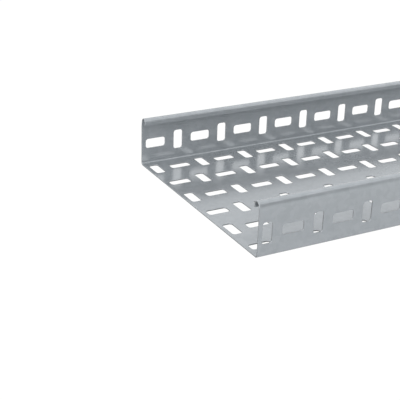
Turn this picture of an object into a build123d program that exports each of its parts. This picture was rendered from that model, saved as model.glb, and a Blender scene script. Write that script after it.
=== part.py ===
from build123d import *

import os

# A length of perforated steel cable tray, roll-formed from one sheet: a flat floor, two upright
# flanges, and a lip curled inward and down along the top of each flange. Sizes are in millimetres.
# +X runs along the tray, +Y across it and +Z up. The origin is the middle of the underside.

# Outside sizes of the tray
length = 1000.0
width = 225.0
height = 50.0
sheet = 1.2

# Bends, measured on the outside of the sheet
floor_bend_radius = 3.0
lip_bend_radius = 3.7

# The lip along the top of each flange: how far it reaches inward, and how far it turns down
lip_width = 8.5
lip_drop = 6.4

# Slots: end-to-end length, width, and how far each corner is cut back along both of its sides
slot_length = 21.0
slot_width = 9.5
slot_corner = 1.4
upright_slot_length = 19.5

# The pattern: the distance between like slots of a row, between the rows of the floor, and from
# the cut end to the middle of the first slot of the rows that start with a crosswise slot.
# The other rows start with a lengthwise slot, which sits further in by the stagger.
slot_pitch = 50.0
row_spacing = 37.5
row_count = 6
end_margin = 8.6
stagger = 6.3
least_land = 2.0

# Height of the middle of the flange slots above the underside
flange_slot_height = 21.8


def tray_section():
    """The bent sheet as it shows at a cut end: its outer skin, thickened inward."""
    half_width = width / 2
    lip_inner = half_width - lip_width
    lip_end = height - lip_drop
    with BuildSketch(Plane.YZ) as section:
        with BuildLine() as skin:
            Polyline(
                (-lip_inner, lip_end),
                (-lip_inner, height),
                (-half_width, height),
                (-half_width, 0),
                (half_width, 0),
                (half_width, height),
                (lip_inner, height),
                (lip_inner, lip_end),
            )
            fillet(skin.vertices().filter_by_position(Axis.Y, height, height), lip_bend_radius)
            fillet(skin.vertices().filter_by_position(Axis.Y, 0, 0), floor_bend_radius)
            offset(amount=sheet, side=Side.LEFT)
        make_face()
    return section.sketch


def stations(first, reach):
    """Places along the tray of the like slots of one row, from the first to the last whole one."""
    room = length - least_land - reach - first
    count = int(room // slot_pitch) + 1
    return [first - length / 2 + slot_pitch * number for number in range(count)]


def slot_outline(along, across):
    """One slot, with its corners cut back."""
    with BuildSketch() as slot:
        Rectangle(along, across)
        chamfer(slot.vertices(), slot_corner)
    return slot.sketch


def slot_row(across, starts_crosswise, crosswise_length):
    """One row of slots, lengthwise and crosswise in turn, at a place across the sheet."""
    if starts_crosswise:
        crosswise_first = end_margin
        lengthwise_first = end_margin + slot_pitch / 2
    else:
        lengthwise_first = end_margin + stagger
        crosswise_first = end_margin + stagger + slot_pitch / 2
    with Locations([(along, across) for along in stations(lengthwise_first, slot_length / 2)]):
        add(slot_outline(slot_length, slot_width))
    with Locations([(along, across) for along in stations(crosswise_first, slot_width / 2)]):
        add(slot_outline(slot_width, crosswise_length))


def floor_slots():
    """The rows of the floor. The row nearest the -Y flange starts lengthwise, the next crosswise."""
    with BuildSketch(Plane.XY) as slots:
        for row in range(row_count):
            across = (row - (row_count - 1) / 2) * row_spacing
            slot_row(across, row % 2 == 1, slot_length)
    return slots.sketch


def flange_slots(face, starts_crosswise):
    """The single row of one flange, drawn on that flange's outer face."""
    with BuildSketch(face) as slots:
        slot_row(flange_slot_height, starts_crosswise, upright_slot_length)
    return slots.sketch


def make_tray():
    """The whole tray: the section run along its length, then punched."""
    near_face = Plane(origin=(0, -width / 2, 0), x_dir=(1, 0, 0), z_dir=(0, -1, 0))
    far_face = Plane(origin=(0, width / 2 - sheet, 0), x_dir=(1, 0, 0), z_dir=(0, -1, 0))
    punched = [
        extrude(floor_slots(), amount=sheet),
        extrude(flange_slots(near_face, True), amount=-sheet),
        extrude(flange_slots(far_face, False), amount=-sheet),
    ]
    with BuildPart() as tray:
        extrude(tray_section(), amount=length / 2, both=True)
        add(punched, mode=Mode.SUBTRACT, clean=False)
    return tray.part


os.makedirs("parts", exist_ok=True)
export_step(make_tray(), "parts/tray.step")
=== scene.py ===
"""Dresses the length of perforated cable tray: its bent and punched sheet, its zinc coat and the studio."""

import logging
import math
from dataclasses import dataclass, field
from enum import Enum

import bmesh
import bpy
from mathutils import Matrix, Vector
from mathutils.geometry import delaunay_2d_cdt


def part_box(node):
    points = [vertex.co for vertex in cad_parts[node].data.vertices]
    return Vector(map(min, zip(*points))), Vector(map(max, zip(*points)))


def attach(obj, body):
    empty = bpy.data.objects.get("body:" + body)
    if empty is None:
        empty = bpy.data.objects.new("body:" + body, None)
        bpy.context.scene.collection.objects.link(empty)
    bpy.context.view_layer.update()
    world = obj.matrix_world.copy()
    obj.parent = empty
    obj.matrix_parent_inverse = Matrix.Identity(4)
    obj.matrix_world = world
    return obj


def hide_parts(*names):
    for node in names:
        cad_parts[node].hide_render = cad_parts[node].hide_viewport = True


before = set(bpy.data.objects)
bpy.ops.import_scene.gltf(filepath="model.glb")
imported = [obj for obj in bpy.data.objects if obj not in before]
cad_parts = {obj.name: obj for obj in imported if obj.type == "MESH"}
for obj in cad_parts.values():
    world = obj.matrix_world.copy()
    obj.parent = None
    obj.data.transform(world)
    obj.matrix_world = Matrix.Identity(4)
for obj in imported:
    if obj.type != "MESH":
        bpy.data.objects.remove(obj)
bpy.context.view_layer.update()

log = logging.getLogger("cable_tray")

MILLIMETRE = 0.001
SAME_PLACE = 1e-7
CREASE = math.radians(50.0)

Point = tuple[float, float]
Way = tuple[float, float, float]
Colour = tuple[float, float, float]


class FirstSlot(Enum):
    """How the slot nearest the left cut end of a row lies."""

    CROSSWISE = "crosswise"
    LENGTHWISE = "lengthwise"


class Coat(Enum):
    """What a face shows: the zinc coat, or the steel that the punch or shear cut through."""

    ZINC = 0
    CUT = 1


class Skin(Enum):
    """The two faces of the bent sheet."""

    OUTER = "outer"
    INNER = "inner"


@dataclass(frozen=True)
class SlotShape:
    """A punched slot: its length, its width and the radius of its corners."""

    length: float = 21.0 * MILLIMETRE
    width: float = 9.5 * MILLIMETRE
    corner: float = 2.5 * MILLIMETRE
    corner_steps: int = 4

    def outline(self, along: float, across: float, grow: float) -> list[Point]:
        """The slot's outline about its own middle, once round.

        Args:
            along: the slot's size along the tray.
            across: its size across the tray.
            grow: how far the outline is let out, all round.

        Returns:
            Points of the rounded rectangle, anticlockwise.
        """
        radius = self.corner + grow
        reach_x = along / 2 + grow - radius
        reach_y = across / 2 + grow - radius
        points = []
        for quarter in range(4):
            centre_x = reach_x if quarter in (0, 3) else -reach_x
            centre_y = reach_y if quarter in (0, 1) else -reach_y
            for step in range(self.corner_steps + 1):
                angle = math.pi / 2 * (quarter + step / self.corner_steps)
                points.append((centre_x + radius * math.cos(angle), centre_y + radius * math.sin(angle)))
        return points


@dataclass(frozen=True)
class SlotPlace:
    """One slot of a panel: its middle and its sizes along and across the tray."""

    middle: Point
    along: float
    across: float


@dataclass(frozen=True)
class Station:
    """A place on the section: where the two skins lie there, and the way from the inner to the outer."""

    outer: Point
    inner: Point
    outward: Point


@dataclass
class TraySheet:
    """The whole tray as one bent and punched sheet. Sizes are in metres, in the tray's own frame.

    The punch and the shear roll the sheet's skin over a little, so no edge is a knife edge. Below each
    outer lip bend the sheet leans inward for a short stretch before it is in line with the flange.
    """

    length: float
    width: float
    height: float
    sheet: float = 1.2 * MILLIMETRE
    floor_bend: float = 3.0 * MILLIMETRE
    lip_bend: float = 3.7 * MILLIMETRE
    lip_width: float = 8.5 * MILLIMETRE
    lip_drop: float = 6.4 * MILLIMETRE
    slot: SlotShape = field(default_factory=SlotShape)
    upright_slot: float = 19.5 * MILLIMETRE
    slot_pitch: float = 50.0 * MILLIMETRE
    row_spacing: float = 37.5 * MILLIMETRE
    row_count: int = 6
    end_margin: float = 8.6 * MILLIMETRE
    stagger: float = 6.3 * MILLIMETRE
    least_land: float = 2.0 * MILLIMETRE
    flange_slot_height: float = 21.8 * MILLIMETRE
    edge_round: float = 0.22 * MILLIMETRE
    ease_length: float = 7.5 * MILLIMETRE
    ease_angle: float = math.radians(19.0)
    ease_steps: int = 8
    bend_steps: int = 12

    def stations(self, first: float, reach: float) -> list[float]:
        """Places along the tray of the like slots of one row.

        Args:
            first: the first one's distance from the left cut end.
            reach: half a slot's size along the tray.

        Returns:
            The x of each slot's middle.
        """
        room = self.length - self.least_land - reach - first
        count = int(room // self.slot_pitch) + 1
        return [first - self.length / 2 + self.slot_pitch * number for number in range(count)]

    def slot_row(self, across: float, start: FirstSlot, crosswise_length: float) -> list[SlotPlace]:
        """One row of slots, lengthwise and crosswise in turn.

        Args:
            across: the row's place across its panel.
            start: how the slot nearest the left cut end lies.
            crosswise_length: the length of the crosswise slots.

        Returns:
            Each slot of the row.
        """
        half_pitch = self.slot_pitch / 2
        if start is FirstSlot.CROSSWISE:
            crosswise_first = self.end_margin
            lengthwise_first = crosswise_first + half_pitch
        else:
            lengthwise_first = self.end_margin + self.stagger
            crosswise_first = lengthwise_first + half_pitch
        lengthwise = self.stations(lengthwise_first, self.slot.length / 2)
        crosswise = self.stations(crosswise_first, self.slot.width / 2)
        return [SlotPlace((x, across), self.slot.length, self.slot.width) for x in lengthwise] + [
            SlotPlace((x, across), self.slot.width, crosswise_length) for x in crosswise
        ]

    def floor_slots(self) -> list[SlotPlace]:
        """The slots of the floor, row by row from the -Y flange.

        Returns:
            Each slot of the floor.
        """
        places = []
        for row in range(self.row_count):
            across = (row - (self.row_count - 1) / 2) * self.row_spacing
            start = FirstSlot.CROSSWISE if row % 2 else FirstSlot.LENGTHWISE
            places += self.slot_row(across, start, self.slot.length)
        return places

    def arc(self, centre: Point, radius: float, start: float, turn: float) -> list[Station]:
        """The stations of one bend, end to end.

        Args:
            centre: the bend's middle, as (y, z).
            radius: its outside radius.
            start: the outward way at its start, as an angle from +Y.
            turn: how far it turns.

        Returns:
            Its stations, both ends among them.
        """
        made = []
        for step in range(self.bend_steps + 1):
            angle = start + turn * step / self.bend_steps
            way = (math.cos(angle), math.sin(angle))
            outer = (centre[0] + radius * way[0], centre[1] + radius * way[1])
            inner = (outer[0] - self.sheet * way[0], outer[1] - self.sheet * way[1])
            made.append(Station(outer, inner, way))
        return made

    def ease(self, top: Station) -> list[Station]:
        """The stretch below an outer lip bend where the sheet comes slowly into line with the flange.

        Args:
            top: the last station of the bend.

        Returns:
            The stations below it, down to the flat flange.
        """
        made = []
        y, z = top.outer
        step_length = self.ease_length / self.ease_steps
        for step in range(1, self.ease_steps + 1):
            tilt = self.ease_angle * (1 - step / self.ease_steps)
            mean_tilt = self.ease_angle * (1 - (step - 0.5) / self.ease_steps)
            y -= step_length * mean_tilt
            z -= step_length * math.cos(mean_tilt)
            way = (-math.cos(tilt), math.sin(tilt))
            made.append(Station((y, z), (y - self.sheet * way[0], z - self.sheet * way[1]), way))
        return made

    def section(self) -> list[list[Station]]:
        """The bent section, as runs of stations from the -Y lip to the +Y lip.

        Returns:
            The near lip with its bends, the near floor bend, the far floor bend and the far lip. The
            flat panels are the gaps between these four runs.
        """
        half = self.width / 2
        quarter = math.pi / 2
        lip_end = self.height - self.lip_drop
        inward = half - self.lip_width
        crest = self.height - self.lip_bend
        leg_end = Station((-inward, lip_end), (-inward - self.sheet, lip_end), (1.0, 0.0))
        ease_drift = self.ease_length * self.ease_angle / 2
        shoulder = -half + ease_drift + self.lip_bend * math.cos(self.ease_angle)
        near_lip = (
            [leg_end]
            + self.arc((-inward - self.lip_bend, crest), self.lip_bend, 0.0, quarter)
            + self.arc((shoulder, crest), self.lip_bend, quarter, quarter - self.ease_angle)
        )
        near_lip += self.ease(near_lip[-1])
        near_bend = self.arc((-half + self.floor_bend, self.floor_bend), self.floor_bend, math.pi, quarter)
        far_bend = self.mirrored(near_bend)
        far_lip = self.mirrored(near_lip)
        return [near_lip, near_bend, far_bend, far_lip]

    @staticmethod
    def mirrored(run: list[Station]) -> list[Station]:
        """The same run on the other side of the tray, from its other end.

        Args:
            run: the stations to mirror.

        Returns:
            The mirrored stations.
        """
        return [
            Station((-s.outer[0], s.outer[1]), (-s.inner[0], s.inner[1]), (-s.outward[0], s.outward[1]))
            for s in reversed(run)
        ]

    def build(self, name: str) -> bpy.types.Object:
        """Makes the sheet's mesh.

        Args:
            name: the piece's name.

        Returns:
            The new object, linked to the scene.
        """
        mesh_maker = SheetMesh(self)
        near_lip, near_bend, far_bend, far_lip = self.section()
        near_slots = self.slot_row(self.flange_slot_height, FirstSlot.CROSSWISE, self.upright_slot)
        far_slots = self.slot_row(self.flange_slot_height, FirstSlot.LENGTHWISE, self.upright_slot)
        for run in (near_lip, near_bend, far_bend, far_lip):
            mesh_maker.add_strips(run)
        floor_slots = self.floor_slots()
        mesh_maker.add_panel(near_lip[-1], near_bend[0], near_slots)
        mesh_maker.add_panel(near_bend[-1], far_bend[0], floor_slots)
        mesh_maker.add_panel(far_bend[-1], far_lip[0], far_slots)
        mesh_maker.close_lip(near_lip[0])
        mesh_maker.close_lip(far_lip[-1])
        mesh_maker.close_ends([near_lip, near_bend, far_bend, far_lip])
        log.info("%s: %d slots", name, len(near_slots) + len(floor_slots) + len(far_slots))
        return mesh_maker.finish(name)

    def dress(self, piece: bpy.types.Object) -> None:
        """Gives the sheet its zinc coat, and bare steel where it was cut.

        Args:
            piece: the object that build made.
        """
        piece.data.materials.append(GalvanisedFinish().material())
        piece.data.materials.append(CutFinish().material())


class SheetMesh:
    """Collects the vertices and faces of the bent sheet and joins them into one closed mesh."""

    def __init__(self, tray: TraySheet) -> None:
        """Starts an empty mesh for a tray.

        Args:
            tray: the sizes of the sheet.
        """
        self.tray = tray
        # A slot's rolled edge, from the skin inward: how far it is let out, and how deep it lies there.
        edge = tray.edge_round
        middle = edge * (1 - math.sqrt(0.5))
        self.rolled = ((edge, 0.0), (middle, middle), (0.0, edge))
        self.mesh = bmesh.new()
        self.known: dict[tuple[int, int, int], bmesh.types.BMVert] = {}

    def vert(self, x: float, y: float, z: float) -> bmesh.types.BMVert:
        """The vertex at a place, made once and then shared.

        Args:
            x: its place along the tray.
            y: its place across it.
            z: its height.

        Returns:
            The vertex there.
        """
        key = (round(x / SAME_PLACE), round(y / SAME_PLACE), round(z / SAME_PLACE))
        if key not in self.known:
            self.known[key] = self.mesh.verts.new((x, y, z))
        return self.known[key]

    def face(self, corners: list[bmesh.types.BMVert], coat: Coat = Coat.ZINC) -> None:
        """Adds a face, unless its corners fall together.

        Args:
            corners: its corners in order.
            coat: what the face is coated with.
        """
        if len(set(corners)) == len(corners):
            self.mesh.faces.new(corners).material_index = coat.value

    def skin_point(self, station: Station, skin: Skin, sink: float = 0.0) -> Point:
        """A point on a skin, or a little under it.

        Args:
            station: where on the section.
            skin: which face of the sheet.
            sink: how far under that face.

        Returns:
            The point as (y, z).
        """
        sign = 1.0 if skin is Skin.OUTER else -1.0
        base = station.outer if skin is Skin.OUTER else station.inner
        return (base[0] - sign * sink * station.outward[0], base[1] - sign * sink * station.outward[1])

    def ends(self) -> tuple[float, float]:
        """Where the two skins stop, short of the cut ends by the edge's rounding."""
        reach = self.tray.length / 2 - self.tray.edge_round
        return (-reach, reach)

    def add_strips(self, run: list[Station]) -> None:
        """Adds both skins of a bend or a lip, end to end.

        Args:
            run: its stations.
        """
        low, high = self.ends()
        for first, second in zip(run, run[1:]):
            for skin in Skin:
                a = self.skin_point(first, skin)
                b = self.skin_point(second, skin)
                corners = [self.vert(low, *a), self.vert(high, *a), self.vert(high, *b), self.vert(low, *b)]
                self.face(corners if skin is Skin.OUTER else corners[::-1])

    def add_panel(self, start: Station, stop: Station, slots: list[SlotPlace]) -> None:
        """Adds a flat panel between two stations, with its slots.

        Args:
            start: the station at its first edge.
            stop: the station at its last edge.
            slots: its slots. Their second coordinate is y on the floor and z on a flange.
        """
        upright = abs(start.outward[0]) > abs(start.outward[1])
        across, fixed = (1, 0) if upright else (0, 1)
        low, high = self.ends()
        widest = self.rolled[0][0]
        for skin in Skin:
            first = self.skin_point(start, skin)
            last = self.skin_point(stop, skin)
            rim = ((low, first), (high, first), (high, last), (low, last))
            points = [Vector((x, point[across])) for x, point in rim]
            owners = [-1] * len(rim)
            edges = [(number, (number + 1) % len(rim)) for number in range(len(rim))]
            for number, place in enumerate(slots):
                outline = self.tray.slot.outline(place.along, place.across, widest)
                base = len(points)
                points += [Vector((place.middle[0] + u, place.middle[1] + v)) for u, v in outline]
                owners += [number] * len(outline)
                edges += [(base + k, base + (k + 1) % len(outline)) for k in range(len(outline))]
            places, _, triangles, sources, _, _ = delaunay_2d_cdt(points, edges, [], 1, SAME_PLACE)
            owner_of = [owners[source[0]] if source else -1 for source in sources]
            for triangle in triangles:
                held = {owner_of[corner] for corner in triangle}
                if len(held) == 1 and held != {-1}:
                    continue
                self.face([self.panel_vert(places[corner], first[fixed], upright) for corner in triangle])
        self.add_slot_walls(start, upright, slots)

    def panel_vert(self, place: Vector, flat: float, upright: bool) -> bmesh.types.BMVert:
        """The vertex of a panel at a place in its own plane.

        Args:
            place: the place along the tray, and across or up it.
            flat: the panel's fixed coordinate.
            upright: true on a flange.

        Returns:
            The shared vertex.
        """
        if upright:
            return self.vert(place[0], flat, place[1])
        return self.vert(place[0], place[1], flat)

    def add_slot_walls(self, station: Station, upright: bool, slots: list[SlotPlace]) -> None:
        """Adds the rolled edges and the walls of a panel's slots, through the sheet.

        Args:
            station: a station of the panel, for the places of its skins.
            upright: true on a flange.
            slots: the panel's slots.
        """
        rings = [(grow, self.skin_point(station, Skin.OUTER, sink)) for grow, sink in self.rolled]
        rings += [(grow, self.skin_point(station, Skin.INNER, sink)) for grow, sink in reversed(self.rolled)]
        side = 0 if upright else 1
        for place in slots:
            loops = []
            for grow, point in rings:
                outline = self.tray.slot.outline(place.along, place.across, grow)
                spots = [Vector((place.middle[0] + u, place.middle[1] + v)) for u, v in outline]
                loops.append([self.panel_vert(spot, point[side], upright) for spot in spots])
            for level, (upper, lower) in enumerate(zip(loops, loops[1:])):
                coat = Coat.CUT if level == len(self.rolled) - 1 else Coat.ZINC
                for k in range(len(upper)):
                    following = (k + 1) % len(upper)
                    self.face([upper[k], upper[following], lower[following], lower[k]], coat)

    def close_lip(self, station: Station) -> None:
        """Closes the sheet along the free edge of a lip.

        Args:
            station: the lip's last station.
        """
        low, high = self.ends()
        a = self.skin_point(station, Skin.OUTER)
        b = self.skin_point(station, Skin.INNER)
        edge = [self.vert(low, *a), self.vert(high, *a), self.vert(high, *b), self.vert(low, *b)]
        self.face(edge, Coat.CUT)

    def end_rim(self, station: Station, side: float) -> list[bmesh.types.BMVert]:
        """The four vertices at a cut end, from the outer skin round to the inner.

        Args:
            station: where on the section.
            side: -1 at the left end, 1 at the right end.

        Returns:
            The outer skin's vertex, the two of the cut face, and the inner skin's.
        """
        edge = self.tray.edge_round
        cut_x = side * self.tray.length / 2
        skin_x = cut_x - side * edge
        return [
            self.vert(skin_x, *self.skin_point(station, Skin.OUTER)),
            self.vert(cut_x, *self.skin_point(station, Skin.OUTER, edge)),
            self.vert(cut_x, *self.skin_point(station, Skin.INNER, edge)),
            self.vert(skin_x, *self.skin_point(station, Skin.INNER)),
        ]

    def close_ends(self, runs: list[list[Station]]) -> None:
        """Closes the two cut ends, with their edges rolled over a little.

        Args:
            runs: the section's runs, in order.
        """
        stations = [station for run in runs for station in run]
        coats = (Coat.ZINC, Coat.CUT, Coat.ZINC)
        for side in (-1.0, 1.0):
            rims = [self.end_rim(station, side) for station in stations]
            for first, second in zip(rims, rims[1:]):
                for k, coat in enumerate(coats):
                    self.face([first[k], second[k], second[k + 1], first[k + 1]], coat)
            self.face(rims[0], Coat.CUT)
            self.face(rims[-1], Coat.CUT)

    def finish(self, name: str) -> bpy.types.Object:
        """Turns what was collected into an object with smooth bends and crisp edges.

        Args:
            name: the object's name.

        Returns:
            The object, linked to the scene.
        """
        bmesh.ops.recalc_face_normals(self.mesh, faces=self.mesh.faces[:])
        for face in self.mesh.faces:
            face.smooth = True
        data = bpy.data.meshes.new(name)
        self.mesh.to_mesh(data)
        self.mesh.free()
        data.set_sharp_from_angle(angle=CREASE)
        piece = bpy.data.objects.new(name, data)
        bpy.context.scene.collection.objects.link(piece)
        weighted = piece.modifiers.new("even_normals", "WEIGHTED_NORMAL")
        weighted.keep_sharp = True
        weighted.weight = 100
        return piece


class NodeBench:
    """A new material's node tree, and short ways to add to it. All patterns lie in the tray's own frame."""

    def __init__(self, name: str, metal: float) -> None:
        """Starts a material with its usual shader.

        Args:
            name: the material's name.
            metal: how metallic its shader is.
        """
        self.material = bpy.data.materials.new(name)
        self.material.use_nodes = True
        self.tree = self.material.node_tree
        self.shader = self.tree.nodes["Principled BSDF"]
        self.shader.inputs["Metallic"].default_value = metal
        self.place = self.tree.nodes.new("ShaderNodeTexCoord").outputs["Object"]

    def join(self, source: bpy.types.NodeSocket, node: bpy.types.Node, name: str) -> None:
        """Links an output to a node's input of that name."""
        self.tree.links.new(source, node.inputs[name])

    def noise(self, size: float, detail: float, stretch: float = 1.0) -> bpy.types.NodeSocket:
        """A cloudy pattern.

        Args:
            size: the size of its clouds.
            detail: how many finer levels it has.
            stretch: how many times longer they are along the tray than across it.

        Returns:
            The pattern, from 0 to 1.
        """
        drawn = self.tree.nodes.new("ShaderNodeMapping")
        drawn.inputs["Scale"].default_value = (1.0 / stretch, 1.0, 1.0)
        self.join(self.place, drawn, "Vector")
        cloud = self.tree.nodes.new("ShaderNodeTexNoise")
        cloud.inputs["Scale"].default_value = 1.0 / size
        cloud.inputs["Detail"].default_value = detail
        self.join(drawn.outputs["Vector"], cloud, "Vector")
        return cloud.outputs["Fac"]

    def spangle(self, size: float) -> bpy.types.NodeSocket:
        """A pattern of crystals, each of one tone.

        Args:
            size: the crystals' size.

        Returns:
            The pattern, from 0 to 1.
        """
        crystals = self.tree.nodes.new("ShaderNodeTexVoronoi")
        crystals.inputs["Scale"].default_value = 1.0 / size
        self.join(self.place, crystals, "Vector")
        tone = self.tree.nodes.new("ShaderNodeSeparateColor")
        self.join(crystals.outputs["Color"], tone, "Color")
        return tone.outputs["Red"]

    def blend(
        self,
        base: bpy.types.NodeSocket,
        over: bpy.types.NodeSocket,
        share: float,
    ) -> bpy.types.NodeSocket:
        """Mixes two patterns.

        Args:
            base: the first.
            over: the second.
            share: the second's share.

        Returns:
            The mixed pattern.
        """
        mixed = self.tree.nodes.new("ShaderNodeMix")
        mixed.data_type = "FLOAT"
        mixed.inputs["Factor"].default_value = share
        self.join(base, mixed, "A")
        self.join(over, mixed, "B")
        return mixed.outputs["Result"]

    def paint(self, pattern: bpy.types.NodeSocket, dark: Colour, light: Colour, spread: float) -> None:
        """Colours the material between two tones.

        Args:
            pattern: where it is dark and where light.
            dark: the tone at the pattern's low end.
            light: the tone at its high end.
            spread: how far from the pattern's middle the pure tones are reached.
        """
        tone = self.tree.nodes.new("ShaderNodeValToRGB")
        low, high = tone.color_ramp.elements
        low.position = 0.5 - spread
        low.color = (*dark, 1.0)
        high.position = 0.5 + spread
        high.color = (*light, 1.0)
        self.join(pattern, tone, "Fac")
        self.join(tone.outputs["Color"], self.shader, "Base Color")

    def polish(self, pattern: bpy.types.NodeSocket, smooth: float, rough: float) -> None:
        """Varies the roughness between two bounds.

        Args:
            pattern: where it is smooth and where rough.
            smooth: the roughness at the pattern's low end.
            rough: the roughness at its high end.
        """
        gloss = self.tree.nodes.new("ShaderNodeMapRange")
        gloss.inputs["To Min"].default_value = smooth
        gloss.inputs["To Max"].default_value = rough
        self.join(pattern, gloss, "Value")
        self.join(gloss.outputs["Result"], self.shader, "Roughness")

    def relief(self, patterns: list[tuple[bpy.types.NodeSocket, float]]) -> None:
        """Gives the surface a fine relief, one pattern upon the other.

        Args:
            patterns: each pattern with its height.
        """
        below = None
        for pattern, height in patterns:
            bump = self.tree.nodes.new("ShaderNodeBump")
            bump.inputs["Strength"].default_value = 1.0
            bump.inputs["Distance"].default_value = height
            self.join(pattern, bump, "Height")
            if below is not None:
                self.join(below, bump, "Normal")
            below = bump.outputs["Normal"]
        self.join(below, self.shader, "Normal")


@dataclass(frozen=True)
class GalvanisedFinish:
    """The zinc coat of a galvanised sheet: a soft grey metal with a faint spangle and rolling lines."""

    name: str = "galvanised_steel"
    dark: Colour = (0.224, 0.242, 0.257)
    light: Colour = (0.264, 0.282, 0.298)
    tone_spread: float = 0.25
    metal: float = 0.6
    roughness: float = 0.19
    gloss_play: float = 0.045
    spangle_size: float = 4.5 * MILLIMETRE
    spangle_share: float = 0.35
    cloud_size: float = 70.0 * MILLIMETRE
    cloud_detail: float = 4.0
    line_width: float = 1.3 * MILLIMETRE
    line_detail: float = 3.0
    line_stretch: float = 60.0
    line_share: float = 0.15
    line_height: float = 0.006 * MILLIMETRE
    wave_size: float = 45.0 * MILLIMETRE
    wave_detail: float = 2.0
    wave_height: float = 0.12 * MILLIMETRE

    def material(self) -> bpy.types.Material:
        """Builds the node material.

        Returns:
            The material, ready to be put on the sheet.
        """
        bench = NodeBench(self.name, self.metal)
        lines = bench.noise(self.line_width, self.line_detail, self.line_stretch)
        clouds = bench.noise(self.cloud_size, self.cloud_detail)
        mottle = bench.blend(clouds, bench.spangle(self.spangle_size), self.spangle_share)
        pattern = bench.blend(mottle, lines, self.line_share)
        bench.paint(pattern, self.dark, self.light, self.tone_spread)
        bench.polish(pattern, self.roughness - self.gloss_play, self.roughness + self.gloss_play)
        waves = bench.noise(self.wave_size, self.wave_detail)
        bench.relief([(waves, self.wave_height), (lines, self.line_height)])
        return bench.material


@dataclass(frozen=True)
class CutFinish:
    """The bare steel where the sheet was punched or sheared: darker, duller and finely torn."""

    name: str = "cut_steel"
    dark: Colour = (0.085, 0.090, 0.095)
    light: Colour = (0.210, 0.220, 0.228)
    tone_spread: float = 0.2
    metal: float = 0.7
    roughness: float = 0.5
    gloss_play: float = 0.08
    tear_size: float = 0.5 * MILLIMETRE
    tear_detail: float = 2.0

    def material(self) -> bpy.types.Material:
        """Builds the node material.

        Returns:
            The material, ready to be put on the sheet.
        """
        bench = NodeBench(self.name, self.metal)
        tears = bench.noise(self.tear_size, self.tear_detail)
        bench.paint(tears, self.dark, self.light, self.tone_spread)
        bench.polish(tears, self.roughness - self.gloss_play, self.roughness + self.gloss_play)
        return bench.material


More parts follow.
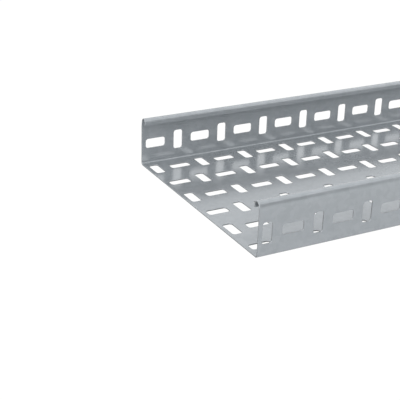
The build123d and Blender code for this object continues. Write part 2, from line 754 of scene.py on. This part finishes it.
@dataclass
class Studio:
    """The pale floor, the soft light all round, the wide key and the camera.

    The light all round is given in steps, from the way opposite bright_way to bright_way itself.
    """

    floor_size: float = 60.0
    floor_drop: float = 0.2 * MILLIMETRE
    paper_grey: float = 0.02
    focal_pixels: float = 998.97
    frame_pixels: float = 400.0
    sensor: float = 36.0
    nearest: float = 0.01
    camera_place: Way = (-0.8887, -0.7276, 0.3746)
    look: Way = (0.4361, 0.8027, -0.4068)
    right_tilt: float = 0.026
    glow: float = 1.0
    bright_way: Way = (0.436, 0.803, 0.407)
    key_way: Way = (-0.63, -0.75, 0.18)
    key_spread: float = math.radians(118.0)
    key_strength: float = 8.2
    light_round: tuple[float, ...] = (1.2, 0.9, 0.0, 0.8, 1.5, 1.1, 1.45, 1.65, 1.3)

    def share(self, light: float) -> tuple[float, float, float, float]:
        """A light as a grey, as a share of the brightest."""
        return (light / max(self.light_round),) * 3 + (1.0,)

    def build_floor(self) -> bpy.types.Object:
        """Lays the pale floor.

        Returns:
            The floor.
        """
        data = bpy.data.meshes.new("pale_floor")
        half = self.floor_size / 2
        corners = [(-half, -half, 0.0), (half, -half, 0.0), (half, half, 0.0), (-half, half, 0.0)]
        data.from_pydata(corners, [], [(0, 1, 2, 3)])
        floor = bpy.data.objects.new("pale_floor", data)
        floor.location.z = -self.floor_drop
        bpy.context.scene.collection.objects.link(floor)
        paper = bpy.data.materials.new("lit_paper")
        paper.use_nodes = True
        shader = paper.node_tree.nodes["Principled BSDF"]
        shader.inputs["Base Color"].default_value = (self.paper_grey,) * 3 + (1.0,)
        shader.inputs["Roughness"].default_value = 1.0
        shader.inputs["Specular IOR Level"].default_value = 0.0
        shader.inputs["Emission Color"].default_value = (1.0, 1.0, 1.0, 1.0)
        shader.inputs["Emission Strength"].default_value = self.glow
        data.materials.append(paper)
        return floor

    def build_light(self) -> None:
        """Lights the studio softly from all round, and with the wide key."""
        world = bpy.data.worlds.new("studio")
        world.use_nodes = True
        nodes = world.node_tree.nodes
        links = world.node_tree.links
        way = nodes.new("ShaderNodeTexCoord")
        toward = nodes.new("ShaderNodeVectorMath")
        toward.operation = "DOT_PRODUCT"
        toward.inputs[1].default_value = self.bright_way
        links.new(way.outputs["Generated"], toward.inputs[0])
        fall = nodes.new("ShaderNodeMapRange")
        fall.inputs["From Min"].default_value = -1.0
        links.new(toward.outputs["Value"], fall.inputs["Value"])
        glow = nodes.new("ShaderNodeValToRGB")
        ramp = glow.color_ramp
        ramp.elements[0].color = self.share(self.light_round[0])
        ramp.elements[1].color = self.share(self.light_round[-1])
        for number, light in enumerate(self.light_round[1:-1], start=1):
            step = ramp.elements.new(number / (len(self.light_round) - 1))
            step.color = self.share(light)
        links.new(fall.outputs["Result"], glow.inputs["Fac"])
        ground = nodes["Background"]
        links.new(glow.outputs["Color"], ground.inputs["Color"])
        ground.inputs["Strength"].default_value = max(self.light_round)
        bpy.context.scene.world = world
        lamp = bpy.data.lights.new("soft_key", "SUN")
        lamp.energy = self.key_strength
        lamp.angle = self.key_spread
        key = bpy.data.objects.new("soft_key", lamp)
        key.rotation_mode = "QUATERNION"
        key.rotation_quaternion = Vector(self.key_way).to_track_quat("Z", "Y")
        bpy.context.scene.collection.objects.link(key)
        bpy.context.scene.view_settings.view_transform = "Standard"

    def build_camera(self) -> bpy.types.Object:
        """Sets the camera at the photograph's place and angle.

        Returns:
            The camera, made the scene's own.
        """
        data = bpy.data.cameras.new("camera")
        data.sensor_width = self.sensor
        data.lens = self.focal_pixels / self.frame_pixels * self.sensor
        data.clip_start = self.nearest
        camera = bpy.data.objects.new("camera", data)
        ahead = Vector(self.look).normalized()
        level_right = ahead.cross(Vector((0.0, 0.0, 1.0))).normalized()
        level_up = level_right.cross(ahead)
        roll = math.asin(self.right_tilt / level_up.z)
        right = level_right * math.cos(roll) + level_up * math.sin(roll)
        up = right.cross(ahead)
        turned = Matrix((right, up, -ahead)).transposed()
        camera.matrix_world = Matrix.Translation(self.camera_place) @ turned.to_4x4()
        bpy.context.scene.collection.objects.link(camera)
        bpy.context.scene.camera = camera
        return camera


def corners(box: tuple[Vector, Vector]) -> list[list[float]]:
    """The two corners of a box as plain lists of numbers."""
    return [[float(value) for value in corner] for corner in box]


def main() -> None:
    """Builds the tray and the studio."""
    logging.basicConfig(level=logging.INFO, format="%(name)s %(message)s")
    low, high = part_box("tray")
    size = high - low
    tray = TraySheet(length=size.x, width=size.y, height=size.z)
    sheet = tray.build("tray_sheet")
    tray.dress(sheet)
    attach(sheet, "root")
    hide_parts("tray")
    log.info("tray_sheet: %d faces", len(sheet.data.polygons))
    studio = Studio()
    studio.build_floor()
    studio.build_light()
    studio.build_camera()
    log.info("studio: floor, light and camera")


if __name__ == "__main__":
    main()
